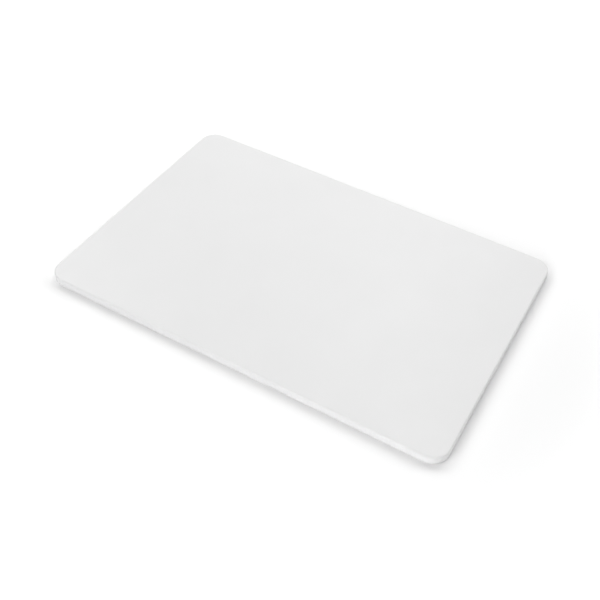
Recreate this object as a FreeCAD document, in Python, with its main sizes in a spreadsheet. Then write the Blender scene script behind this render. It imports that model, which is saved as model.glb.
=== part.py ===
import FreeCAD, Part
import math
import os
import Sketcher

# A plain cutting board: one solid sheet of polyethylene, cut to a rectangle
# with rounded corners. The edges of both faces are rounded over by the same
# amount, so the board is the same either way up. It is a single piece: there
# is no handle, hole, juice groove, foot or insert.
#
# Frame: X runs along the length, Y along the width and Z up. The origin is the
# centre of the underside, the face that the board rests on.

NODE_NAME = "board_slab"
PARTS_FOLDER = "parts"

# Driving dimensions, in millimetres.
DRIVING_SIZES = [
    ("board_length", 450.0, "overall, along X"),
    ("board_width", 300.0, "overall, along Y"),
    ("board_thickness", 10.0, "overall, along Z"),
    ("corner_radius", 18.5, "of each corner, seen from above"),
    ("edge_radius", 2.0, "of the rounding between each face and the wall"),
]

# The numbers that sketch constraints use for the points of a line or an arc.
START = 1
END = 2
CENTRE = 3
# The sketch's own origin, as a constraint names it: geometry -1, its first point.
SKETCH_ORIGIN = (-1, 1)

# An edge whose height varies by less than this lies flat, in millimetres.
FLAT_TOLERANCE = 1e-6


def make_sizes_sheet(doc):
    """Put the driving dimensions in a spreadsheet, one to a row, each with its alias."""
    sheet = doc.addObject("Spreadsheet::Sheet", "Sizes")
    for row, (alias, value, note) in enumerate(DRIVING_SIZES, start=1):
        sheet.set(f"A{row}", alias)
        sheet.set(f"B{row}", str(value))
        sheet.set(f"C{row}", note)
        sheet.setAlias(f"B{row}", alias)
    doc.recompute()
    return sheet


def find_origin_plane(body, role):
    """Return the body's own origin plane that has this role."""
    return next(plane for plane in body.Origin.OriginFeatures if plane.Role == role)


def draw_sides(sketch, sheet):
    """Draw the four straight sides, anticlockwise from the front one."""
    half_x = sheet.board_length / 2
    half_y = sheet.board_width / 2
    run_x = half_x - sheet.corner_radius
    run_y = half_y - sheet.corner_radius
    ends = [
        ((-run_x, -half_y), (run_x, -half_y)),
        ((half_x, -run_y), (half_x, run_y)),
        ((run_x, half_y), (-run_x, half_y)),
        ((-half_x, run_y), (-half_x, -run_y)),
    ]
    sides = []
    for start, end in ends:
        line = Part.LineSegment(FreeCAD.Vector(*start), FreeCAD.Vector(*end))
        sides.append(sketch.addGeometry(line))
    return sides


def draw_corners(sketch, sheet):
    """Draw the four quarter arcs. Each one starts where the side of its index ends."""
    run_x = sheet.board_length / 2 - sheet.corner_radius
    run_y = sheet.board_width / 2 - sheet.corner_radius
    centres = [(run_x, -run_y), (run_x, run_y), (-run_x, run_y), (-run_x, -run_y)]
    up = FreeCAD.Vector(0, 0, 1)
    quarter_turn = math.pi / 2
    corners = []
    for index, centre in enumerate(centres):
        circle = Part.Circle(FreeCAD.Vector(*centre), up, sheet.corner_radius)
        start_angle = quarter_turn * (index - 1)
        arc = Part.ArcOfCircle(circle, start_angle, start_angle + quarter_turn)
        corners.append(sketch.addGeometry(arc))
    return corners


def bind(sketch, name, alias, *constraint):
    """Add a dimension to the sketch, name it, and bind its value to a cell of the sheet."""
    index = sketch.addConstraint(Sketcher.Constraint(*constraint))
    sketch.renameConstraint(index, name)
    sketch.setExpression(f"Constraints.{name}", f"Sizes.{alias}")


def constrain_outline(sketch, sheet, sides, corners):
    """Join sides and corners smoothly, centre the outline, and give it its size."""
    for index in range(4):
        next_side = sides[(index + 1) % 4]
        sketch.addConstraint(Sketcher.Constraint("Tangent", sides[index], END, corners[index], START))
        sketch.addConstraint(Sketcher.Constraint("Tangent", corners[index], END, next_side, START))
    front, right, back, left = sides
    for side in (front, back):
        sketch.addConstraint(Sketcher.Constraint("Horizontal", side))
    for side in (right, left):
        sketch.addConstraint(Sketcher.Constraint("Vertical", side))
    for corner in corners[1:]:
        sketch.addConstraint(Sketcher.Constraint("Equal", corners[0], corner))
    opposite_centres = (corners[0], CENTRE, corners[2], CENTRE)
    sketch.addConstraint(Sketcher.Constraint("Symmetric", *opposite_centres, *SKETCH_ORIGIN))
    bind(sketch, "Corner", "corner_radius", "Radius", corners[0], sheet.corner_radius)
    bind(sketch, "Length", "board_length", "DistanceX", left, END, right, END, sheet.board_length)
    bind(sketch, "Width", "board_width", "DistanceY", front, END, back, END, sheet.board_width)


def make_outline(body, sheet):
    """Draw the rounded rectangle on the body's XY plane."""
    sketch = body.newObject("Sketcher::SketchObject", "Outline")
    sketch.AttachmentSupport = (find_origin_plane(body, "XY_Plane"), [""])
    sketch.MapMode = "FlatFace"
    sides = draw_sides(sketch, sheet)
    corners = draw_corners(sketch, sheet)
    constrain_outline(sketch, sheet, sides, corners)
    return sketch


def find_face_edges(shape):
    """Name the edges that lie flat: those around the board's lower and upper faces."""
    names = []
    for number, edge in enumerate(shape.Edges, start=1):
        if edge.BoundBox.ZLength < FLAT_TOLERANCE:
            names.append(f"Edge{number}")
    return names


def make_board_slab(doc, sheet):
    """Pad the outline up from the underside, then round the edges of both faces."""
    body = doc.addObject("PartDesign::Body", "BoardSlab")
    body.Label = NODE_NAME
    outline = make_outline(body, sheet)
    doc.recompute()

    slab = body.newObject("PartDesign::Pad", "Slab")
    slab.Profile = outline
    slab.setExpression("Length", "Sizes.board_thickness")
    doc.recompute()

    rounding = body.newObject("PartDesign::Fillet", "RoundedEdges")
    rounding.Base = (slab, find_face_edges(slab.Shape))
    rounding.setExpression("Radius", "Sizes.edge_radius")
    outline.Visibility = False
    body.Tip = rounding
    doc.recompute()
    return body


def check_document(doc, parts):
    """Stop if any object failed to compute, or any sub-part has no valid single solid."""
    for item in doc.Objects:
        if "Invalid" in item.State or "Error" in item.State:
            raise RuntimeError(f"{item.Label} failed: {item.State}")
    for part in parts:
        if part.Shape.isNull() or not part.Shape.isValid() or len(part.Shape.Solids) != 1:
            raise RuntimeError(f"{part.Label} has no valid single solid")


def export_parts(parts):
    """Write each sub-part to a STEP file named after it."""
    os.makedirs(PARTS_FOLDER, exist_ok=True)
    for part in parts:
        part.Shape.exportStep(os.path.join(PARTS_FOLDER, f"{part.Label}.step"))
        box = part.Shape.optimalBoundingBox()
        size = f"{box.XLength:.2f} x {box.YLength:.2f} x {box.ZLength:.2f} mm"
        print(f"{part.Label}: {size}, {part.Shape.Volume / 1000:.2f} cm3")


def main():
    doc = FreeCAD.newDocument("CuttingBoard")
    sheet = make_sizes_sheet(doc)
    parts = [make_board_slab(doc, sheet)]
    check_document(doc, parts)
    export_parts(parts)


main()
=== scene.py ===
"""A plain white cutting board of solid polyethylene, lying flat on a pale studio floor.

The board is one piece, so there is one surface to make: two flat faces, a straight wall
round them, and a quarter-round along both edges of the wall. Lengths are in metres. X runs
along the board, Y runs across it, Z is up, and the floor is at the board's underside.
"""
import math

import bpy
import numpy as np
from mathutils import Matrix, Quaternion, Vector


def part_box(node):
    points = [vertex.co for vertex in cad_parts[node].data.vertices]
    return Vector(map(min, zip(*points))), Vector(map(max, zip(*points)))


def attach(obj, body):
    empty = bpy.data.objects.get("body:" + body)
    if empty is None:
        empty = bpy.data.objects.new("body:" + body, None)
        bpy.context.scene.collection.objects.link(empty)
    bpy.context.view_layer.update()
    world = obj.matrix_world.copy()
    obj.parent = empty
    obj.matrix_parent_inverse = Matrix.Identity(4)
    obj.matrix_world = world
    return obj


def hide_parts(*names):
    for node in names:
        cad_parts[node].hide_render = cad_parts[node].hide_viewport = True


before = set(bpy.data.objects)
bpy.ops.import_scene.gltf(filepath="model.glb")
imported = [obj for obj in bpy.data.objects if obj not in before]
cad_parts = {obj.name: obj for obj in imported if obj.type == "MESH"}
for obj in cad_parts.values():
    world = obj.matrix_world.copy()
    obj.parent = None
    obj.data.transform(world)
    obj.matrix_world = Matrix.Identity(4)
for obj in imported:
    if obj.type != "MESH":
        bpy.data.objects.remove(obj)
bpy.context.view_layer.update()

MM = 0.001

# --- The board: its overall sizes come from the frame ---------------------------------------

BOARD_NODE = "board_slab"
BOARD_LOW, BOARD_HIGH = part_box(BOARD_NODE)
BOARD_LENGTH, BOARD_WIDTH, BOARD_THICKNESS = BOARD_HIGH - BOARD_LOW
CORNER_RADIUS = 18.5 * MM
EDGE_RADIUS = 2.0 * MM
# The corner of the rectangle whose corners are the centres of the board's corner arcs.
CORE = np.array([BOARD_LENGTH, BOARD_WIDTH]) / 2 - CORNER_RADIUS

# How many steps each stretch of the surface is divided into.
CORNER_STEPS = 12
LENGTH_STEPS = 36
WIDTH_STEPS = 24
ROUNDING_STEPS = 10
WALL_STEPS = 4

# --- The view -------------------------------------------------------------------------------

CAMERA_AIM = Vector((29.2, -25.4, 0.0)) * MM
CAMERA_DISTANCE = 899.5 * MM
CAMERA_AZIMUTH = math.radians(26.57)
CAMERA_ELEVATION = math.radians(46.38)
CAMERA_ROLL = math.radians(3.92)
# In millimetres, for a sensor 36 mm wide.
LENS_LENGTH = 51.62
# The sideways shift of the lens, as a share of the frame.
FRAME_SHIFT = -0.03

# --- The finishes ---------------------------------------------------------------------------

POLYETHYLENE_COLOUR = (0.735, 0.735, 0.735)
POLYETHYLENE_IOR = 1.54
POLYETHYLENE_ROUGHNESS = 0.42
# How much of the light goes in under the surface, and about how far.
MILKINESS = 0.15
MILKY_DEPTH = 2.0 * MM
# The size of the clouds in tone and in sheen, and how far they stray from the mean.
TONE_CLOUDS = {"Size": 70 * MM, "Spread": 0.006}
SHEEN_CLOUDS = {"Size": 22 * MM, "Spread": 0.06}
# How much duller or shinier a tool line is than the mean.
LINE_SHEEN = 0.05

# Each grain has its pitch and depth, and each set of tool lines its length along X, Y and Z
# and its depth. They run along the board on the faces, and round it on the edge.
FACE_GRAIN = (0.9 * MM, 0.020 * MM)
FACE_LINES = ((90 * MM, 1.4 * MM, 90 * MM), 0.004 * MM)
EDGE_GRAIN = (0.5 * MM, 0.003 * MM)
EDGE_LINES = ((120 * MM, 120 * MM, 0.5 * MM), 0.008 * MM)

# The inputs of the effect that draws tool lines.
LINE_AXES = ("X Length", "Y Length", "Z Length")

# The values that most of a noise pattern lies between.
NOISE_LOW = 0.3
NOISE_HIGH = 0.7

# --- The studio -----------------------------------------------------------------------------

FLOOR_RADIUS = 12.0
FLOOR_CORNERS = 96
PAPER_COLOUR = (0.96, 0.96, 0.96)
PAPER_ROUGHNESS = 0.9
PAPER_GLOSS = 0.1
PAPER_CLOUDS = {"Size": 400 * MM, "Spread": 0.004}
# How far from the board's middle the floor's glow starts, and where it is full.
GLOW_START = 0.27
GLOW_FULL = 0.70
# How strongly the room lights the board, where 1 is full white.
SKY_STRENGTH = 0.06
# How far from the board the large softboxes stand.
LAMP_DISTANCE = 1.8


# --- Making the shape -----------------------------------------------------------------------

def grid_lines(overall, steps):
    """Where the lines of a face's grid cross one axis.

    The run between the corner zones is divided evenly. In a corner zone, line k of n stands
    k/n of the flat face's own corner radius beyond the end of the run.
    """
    run = overall / 2 - CORNER_RADIUS
    zone = run + (CORNER_RADIUS - EDGE_RADIUS) * np.arange(1, CORNER_STEPS + 1) / CORNER_STEPS
    return np.concatenate([-zone[::-1], np.linspace(-run, run, steps + 1), zone])


def face_plan():
    """The flat part of a face, seen from above, as a grid of points.

    A plain rectangle of crossing lines, in which each corner square (s, t) is bent into a
    quarter disc: the larger of s and t becomes the distance from the corner's centre, and
    the smaller over the larger becomes the angle, so that the outer ring is an even arc.
    """
    lines = grid_lines(BOARD_LENGTH, LENGTH_STEPS), grid_lines(BOARD_WIDTH, WIDTH_STEPS)
    plan = np.stack(np.meshgrid(*lines), axis=-1)
    core = np.clip(plan, -CORE, CORE)
    s, t = np.moveaxis(np.abs(plan - core), -1, 0)
    distance = np.maximum(s, t)
    share = np.divide(np.minimum(s, t), distance, out=np.zeros_like(s), where=distance > 0)
    angle = np.where(s >= t, share, 2 - share) * math.pi / 4
    bent = np.stack([np.cos(angle), np.sin(angle)], axis=-1) * distance[..., None]
    return core + bent * np.sign(plan - core)


def edge_section():
    """The edge in section, from the upper face's rim down to the lower one's.

    A quarter turn of a circle of the edge radius, the straight wall, and the same quarter
    turn upside down. Gives each point's distance out from the corner's centre, its height,
    and how far its normal leans up from level.
    """
    turn = np.linspace(math.pi / 2, 0, ROUNDING_STEPS + 1)
    wall = np.linspace(BOARD_THICKNESS - EDGE_RADIUS, EDGE_RADIUS, WALL_STEPS + 1)
    lean = np.concatenate([turn, np.zeros(WALL_STEPS - 1), -turn[::-1]])
    centre = np.concatenate([np.full_like(turn, wall[0]), wall[1:-1], np.full_like(turn, wall[-1])])
    reach = CORNER_RADIUS - EDGE_RADIUS + EDGE_RADIUS * np.cos(lean)
    return reach, centre + EDGE_RADIUS * np.sin(lean), lean


def lift(plan, height):
    """Give plan points a height each, or one height for all."""
    return np.concatenate([plan, np.broadcast_to(height, plan.shape[:-1] + (1,))], axis=-1)


def quads_between(ladder):
    """Four-sided faces between each row of point numbers and the next.

    They face the side from which the rows run to the right and climb.
    """
    lower, upper = ladder[:-1], ladder[1:]
    around = [lower[:, :-1], lower[:, 1:], upper[:, 1:], upper[:, :-1]]
    return np.stack(around, axis=-1).reshape(-1, 4)


def board_skin():
    """The closed skin of the board: its points, their normals, and the quads of its faces
    and of its edge.

    The upper and lower faces are the same plan grid at two heights. Between their rims,
    each ring of the edge is the rim's outline pushed out from the core rectangle by one
    distance of the edge's section, at that point's height.
    """
    plan = face_plan()
    grid = np.arange(plan.shape[0] * plan.shape[1]).reshape(plan.shape[:2])
    rim = np.concatenate([grid[0, :-1], grid[:-1, -1], grid[-1, :0:-1], grid[:0:-1, 0]])
    plan = plan.reshape(-1, 2)
    core = np.clip(plan[rim], -CORE, CORE)
    outward = (plan[rim] - core) / (CORNER_RADIUS - EDGE_RADIUS)

    reach, height, lean = (values[1:-1, None, None] for values in edge_section())
    rings = lift(core + reach * outward, height)
    ring_normals = lift(np.cos(lean) * outward, np.sin(lean))
    level = np.zeros_like(plan)
    points = np.concatenate([lift(plan, BOARD_THICKNESS), lift(plan, 0.0), rings.reshape(-1, 3)])
    normals = np.concatenate([lift(level, 1.0), lift(level, -1.0), ring_normals.reshape(-1, 3)])

    ring_numbers = 2 * len(plan) + np.arange(rings.shape[0] * len(rim)).reshape(-1, len(rim))
    ladder = np.concatenate([[len(plan) + rim], ring_numbers[::-1], [rim]])
    ladder = np.concatenate([ladder, ladder[:, :1]], axis=1)
    upper = quads_between(grid)
    faces = np.concatenate([upper, len(plan) + upper[:, ::-1]])
    return points, normals, faces, quads_between(ladder)


def make_board(face_finish, edge_finish):
    """Put the skin in a mesh, with one finish on the faces and another on the edge."""
    points, normals, faces, edge = board_skin()
    mesh = bpy.data.meshes.new("cutting_board")
    mesh.from_pydata(points, [], np.concatenate([faces, edge]).tolist())
    for finish in (face_finish, edge_finish):
        mesh.materials.append(finish)
    finish_numbers = np.repeat([0, 1], [len(faces), len(edge)]).astype(np.int32)
    mesh.polygons.foreach_set("material_index", finish_numbers)
    mesh.polygons.foreach_set("use_smooth", np.ones(len(mesh.polygons), dtype=bool))
    mesh.normals_split_custom_set_from_vertices(normals)
    mesh.validate()
    board = bpy.data.objects.new("cutting_board", mesh)
    bpy.context.scene.collection.objects.link(board)
    return board


# --- Making the finishes --------------------------------------------------------------------

def place(tree, kind, inputs=(), **settings):
    """Add a shader node to a tree.

    The inputs are a list in the order of the node's sockets, or a dictionary by their names.
    One that is another node's output is linked, and any other value is set.
    """
    node = tree.nodes.new("ShaderNode" + kind)
    for name, value in settings.items():
        setattr(node, name, value)
    for key, value in inputs.items() if isinstance(inputs, dict) else enumerate(inputs):
        if isinstance(value, bpy.types.NodeSocket):
            tree.links.new(value, node.inputs[key])
        else:
            node.inputs[key].default_value = value
    return node


def start_effect(name, sockets_in, output):
    """Start a node group that reads a coordinate and some numbers, and puts out one number.

    The inputs are given as names with their defaults. Returns the group, its inputs by name,
    and the socket that its result goes to.
    """
    tree = bpy.data.node_groups.new(name, "ShaderNodeTree")
    tree.interface.new_socket("Coordinate", in_out="INPUT", socket_type="NodeSocketVector")
    for socket, default in sockets_in.items():
        made = tree.interface.new_socket(socket, in_out="INPUT", socket_type="NodeSocketFloat")
        made.default_value = default
    tree.interface.new_socket(output, in_out="OUTPUT", socket_type="NodeSocketFloat")
    given = tree.nodes.new("NodeGroupInput").outputs
    result = tree.nodes.new("NodeGroupOutput").inputs[output]
    return tree, given, result


def calculated(tree, operation, *values):
    """The result of a sum on numbers, any of which may vary over the surface."""
    return place(tree, "Math", values, operation=operation).outputs[0]


def noise(tree, where, scale, **settings):
    """A noise pattern with this many lumps to the metre, from 0 to 1."""
    inputs = {"Vector": where, "Scale": scale, **settings}
    return place(tree, "TexNoise", inputs).outputs["Fac"]


def stretched(tree, pattern, low, high, slope="LINEAR"):
    """A noise pattern stretched so that most of it runs all the way from low to high."""
    inputs = [pattern, NOISE_LOW, NOISE_HIGH, low, high]
    return place(tree, "MapRange", inputs, interpolation_type=slope).outputs["Result"]


def make_grain_effect():
    """The fine pebbled matt of plastic sheet.

    Noise whose middle values are spread out smoothly gives rounded pebbles a pitch apart,
    for four parts in five of the height. Noise at a third of the pitch gives the rest.
    """
    pebble_share, fineness = 0.8, 3.0
    tree, given, height = start_effect("pebbled_grain", {"Pitch": FACE_GRAIN[0]}, "Height")
    scale = calculated(tree, "DIVIDE", 1.0, given["Pitch"])
    fine_scale = calculated(tree, "DIVIDE", fineness, given["Pitch"])
    lumps = noise(tree, given["Coordinate"], scale, Detail=0.0)
    fine = noise(tree, given["Coordinate"], fine_scale, Detail=0.0)
    pebbles = stretched(tree, lumps, 0.0, pebble_share, "SMOOTHSTEP")
    tree.links.new(calculated(tree, "MULTIPLY_ADD", fine, 1 - pebble_share, pebbles), height)
    return tree


def make_line_effect():
    """Fine lines that tooling leaves: noise drawn out to a length along each axis, so that
    it changes slowly along the lines and quickly across them."""
    tree, given, line = start_effect("tool_lines", dict(zip(LINE_AXES, FACE_LINES[0])), "Line")
    length = place(tree, "CombineXYZ", [given[name] for name in LINE_AXES]).outputs[0]
    drawn = place(tree, "VectorMath", [given["Coordinate"], length], operation="DIVIDE").outputs[0]
    tree.links.new(noise(tree, drawn, 1.0, Detail=2.0, Roughness=0.6), line)
    return tree


def make_cloud_effect():
    """Broad, soft unevenness: a cloud pattern that runs from 1 - Spread to 1 + Spread."""
    tree, given, factor = start_effect("soft_clouds", TONE_CLOUDS, "Factor")
    scale = calculated(tree, "DIVIDE", 1.0, given["Size"])
    cloud = noise(tree, given["Coordinate"], scale, Detail=2.0, Roughness=0.5)
    low = calculated(tree, "SUBTRACT", 1.0, given["Spread"])
    high = calculated(tree, "ADD", 1.0, given["Spread"])
    tree.links.new(stretched(tree, cloud, low, high), factor)
    return tree


def add_effect(tree, effect, inputs):
    """Place a node group in a material, reading the object's own coordinates."""
    where = place(tree, "TexCoord").outputs["Object"]
    node = place(tree, "Group", node_tree=effect)
    tree.links.new(where, node.inputs["Coordinate"])
    for name, value in inputs.items():
        node.inputs[name].default_value = value
    return node.outputs[0]


def tinted(tree, factor, colour):
    """A fixed colour, made darker or lighter by a factor that varies over the surface."""
    inputs = {"Vector": colour, "Scale": factor}
    return place(tree, "VectorMath", inputs, operation="SCALE").outputs[0]


def bumped(tree, height, depth, **base):
    """The normal of a surface with a height pattern of this depth laid on it.

    The surface is the piece's own, or one with a pattern already, given as its Normal.
    """
    inputs = {"Distance": depth, "Height": height, **base}
    return place(tree, "Bump", inputs).outputs["Normal"]


def start_material(name):
    """Make an empty material and its Principled shader."""
    material = bpy.data.materials.new(name)
    material.use_nodes = True
    tree = material.node_tree
    tree.nodes.clear()
    shader = place(tree, "BsdfPrincipled")
    output = place(tree, "OutputMaterial")
    tree.links.new(shader.outputs["BSDF"], output.inputs["Surface"])
    return material, tree, shader


def make_polyethylene(name, effects, grain, lines):
    """White polyethylene, slightly milky.

    Its tone and sheen have faint clouds. Its surface has a pebbled grain, given as pitch and
    depth, and over it tool lines, given as their length along each axis, and their depth.
    """
    material, tree, shader = start_material(name)
    shader.inputs["IOR"].default_value = POLYETHYLENE_IOR
    shader.inputs["Subsurface Weight"].default_value = MILKINESS
    shader.inputs["Subsurface Radius"].default_value = (1.0, 1.0, 1.0)
    shader.inputs["Subsurface Scale"].default_value = MILKY_DEPTH
    tone = add_effect(tree, effects["clouds"], TONE_CLOUDS)
    sheen = add_effect(tree, effects["clouds"], SHEEN_CLOUDS)
    tree.links.new(tinted(tree, tone, POLYETHYLENE_COLOUR), shader.inputs["Base Color"])

    grain_pitch, grain_depth = grain
    line_lengths, line_depth = lines
    pebbles = add_effect(tree, effects["grain"], {"Pitch": grain_pitch})
    drawn = add_effect(tree, effects["lines"], dict(zip(LINE_AXES, line_lengths)))
    streaks = stretched(tree, drawn, 1 - LINE_SHEEN, 1 + LINE_SHEEN)
    polish = calculated(tree, "MULTIPLY", sheen, streaks)
    roughness = calculated(tree, "MULTIPLY", polish, POLYETHYLENE_ROUGHNESS)
    tree.links.new(roughness, shader.inputs["Roughness"])
    grained = bumped(tree, pebbles, grain_depth)
    tree.links.new(bumped(tree, drawn, line_depth, Normal=grained), shader.inputs["Normal"])
    return material


def make_floor_paper(effects):
    """The pale matt paper that the studio floor is covered with.

    Away from the board it glows, as if lit from beneath, so that it stays white out to the
    horizon. The glow rises smoothly from none to full between two distances from the middle.
    """
    material, tree, shader = start_material("studio_paper")
    shader.inputs["Specular IOR Level"].default_value = PAPER_GLOSS
    shader.inputs["Roughness"].default_value = PAPER_ROUGHNESS
    tone = add_effect(tree, effects["clouds"], PAPER_CLOUDS)
    tree.links.new(tinted(tree, tone, PAPER_COLOUR), shader.inputs["Base Color"])
    where = place(tree, "TexCoord").outputs["Object"]
    distance = place(tree, "VectorMath", [where], operation="LENGTH").outputs["Value"]
    glow_range = {"Value": distance, "From Min": GLOW_START, "From Max": GLOW_FULL}
    glow = place(tree, "MapRange", glow_range, interpolation_type="SMOOTHSTEP").outputs["Result"]
    tree.links.new(tinted(tree, glow, (1.0, 1.0, 1.0)), shader.inputs["Emission Color"])
    shader.inputs["Emission Strength"].default_value = 1.0
    return material


# --- Making the studio ----------------------------------------------------------------------

def make_floor(material):
    """A flat round floor at the height of the board's underside."""
    angle = np.linspace(0, 2 * math.pi, FLOOR_CORNERS, endpoint=False)
    ring = np.stack([np.cos(angle), np.sin(angle)], axis=-1) * FLOOR_RADIUS
    mesh = bpy.data.meshes.new("studio_floor")
    mesh.from_pydata(lift(ring, BOARD_LOW.z), [], [list(range(FLOOR_CORNERS))])
    mesh.materials.append(material)
    floor = bpy.data.objects.new("studio_floor", mesh)
    bpy.context.scene.collection.objects.link(floor)


def make_sky():
    """A white room: seen straight on it is full white, and it lights the board only faintly."""
    world = bpy.data.worlds.new("studio_room")
    world.use_nodes = True
    tree = world.node_tree
    seen = place(tree, "LightPath").outputs["Is Camera Ray"]
    strength = place(tree, "MapRange", {"Value": seen, "To Min": SKY_STRENGTH, "To Max": 1.0})
    background = tree.nodes["Background"]
    background.inputs["Color"].default_value = (1.0, 1.0, 1.0, 1.0)
    tree.links.new(strength.outputs["Result"], background.inputs["Strength"])
    bpy.context.scene.world = world


def point_outward(turn, rise):
    """The unit vector away from the middle: turned by an angle anticlockwise from the front,
    seen from above, and raised by another above level."""
    level = math.cos(rise)
    return Vector((math.sin(turn) * level, -math.cos(turn) * level, math.sin(rise)))


def make_softbox(name, turn, rise, size, watts, distance=LAMP_DISTANCE, mirrored=True):
    """A softbox, of this width and height, aimed at the middle of the board.

    It stands at this distance, turned this many degrees anticlockwise from the front (seen
    from above), and this many degrees above level. It lights the board but isn't seen itself,
    and one that isn't mirrored leaves no glare on the board either.
    """
    outward = point_outward(math.radians(turn), math.radians(rise))
    lamp = bpy.data.lights.new(name, "AREA")
    lamp.shape = "RECTANGLE"
    lamp.size, lamp.size_y = size
    lamp.energy = watts
    softbox = bpy.data.objects.new(name, lamp)
    softbox.location = outward * distance
    softbox.rotation_mode = "QUATERNION"
    softbox.rotation_quaternion = (-outward).to_track_quat("-Z", "Y")
    softbox.visible_camera = False
    softbox.visible_glossy = mirrored
    bpy.context.scene.collection.objects.link(softbox)


def make_lights():
    """Big soft light from behind and from the left, and weaker, lower light from the front,
    so that the upper face is even, the front edge is bright and the right one is in shade.
    The low lamps aren't mirrored, because a low view from behind would see only their glare."""
    make_softbox("right_back_softbox", 138, 30, (0.9, 0.9), 10.3)
    make_softbox("back_softbox", 180, 30, (0.9, 0.9), 3.1)
    make_softbox("high_back_softbox", 180, 60, (0.9, 0.9), 8.2)
    make_softbox("sheen_softbox", 207, 41, (1.0, 1.0), 6.2)
    make_softbox("left_softbox", 255, 43, (0.9, 0.9), 10.6)
    make_softbox("front_left_softbox", -20, 35, (0.9, 0.9), 12.8)
    make_softbox("low_front_softbox", 10, 12, (1.0, 0.6), 4.6, mirrored=False)
    make_softbox("near_right_softbox", 32, 13, (0.4, 0.3), 1.3, distance=0.8, mirrored=False)


def make_camera():
    """A camera that looks at the aim from the given side and height, slightly rolled."""
    camera = bpy.data.objects.new("camera", bpy.data.cameras.new("camera"))
    camera.data.lens = LENS_LENGTH
    camera.data.shift_x = FRAME_SHIFT
    back = point_outward(CAMERA_AZIMUTH, CAMERA_ELEVATION)
    camera.location = CAMERA_AIM + back * CAMERA_DISTANCE
    camera.rotation_mode = "QUATERNION"
    roll = Quaternion((0.0, 0.0, 1.0), CAMERA_ROLL)
    camera.rotation_quaternion = (-back).to_track_quat("-Z", "Y") @ roll
    bpy.context.scene.collection.objects.link(camera)
    bpy.context.scene.camera = camera


def main():
    """Build the board and its studio."""
    effects = {
        "grain": make_grain_effect(),
        "clouds": make_cloud_effect(),
        "lines": make_line_effect(),
    }
    face_finish = make_polyethylene("matt_polyethylene_face", effects, FACE_GRAIN, FACE_LINES)
    edge_finish = make_polyethylene("routed_polyethylene_edge", effects, EDGE_GRAIN, EDGE_LINES)
    board = make_board(face_finish, edge_finish)
    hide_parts(BOARD_NODE)
    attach(board, "root")

    make_floor(make_floor_paper(effects))
    make_sky()
    make_lights()
    make_camera()
    bpy.context.scene.view_settings.view_transform = "Standard"


main()
